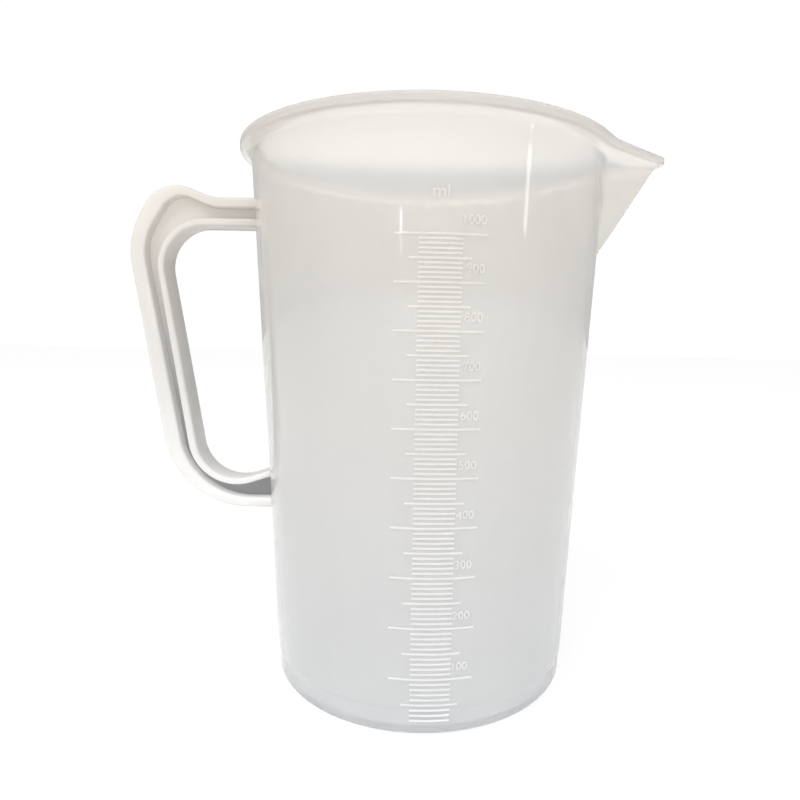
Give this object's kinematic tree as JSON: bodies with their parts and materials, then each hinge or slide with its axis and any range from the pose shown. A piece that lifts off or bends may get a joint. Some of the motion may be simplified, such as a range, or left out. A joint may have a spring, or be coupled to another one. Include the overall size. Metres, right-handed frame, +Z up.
{
  "type": "measuring jug",
  "caption": "Tapered one-piece plastic measuring jug with rolled rim, pouring spout, ribbed loop handle and a moulded scale.",
  "frame": {"origin": "centre of the underside of the foot, on the axis of the cup", "axes": "+Z up along the axis of the cup, +X to the spout, handle towards -X, scale on the -Y side"},
  "size_m": [0.1725, 0.118, 0.167],
  "materials": {
    "polypropylene": "satin"
  },
  "bodies": {
    "root": {"jug": "polypropylene"}
  },
  "joints": []
}
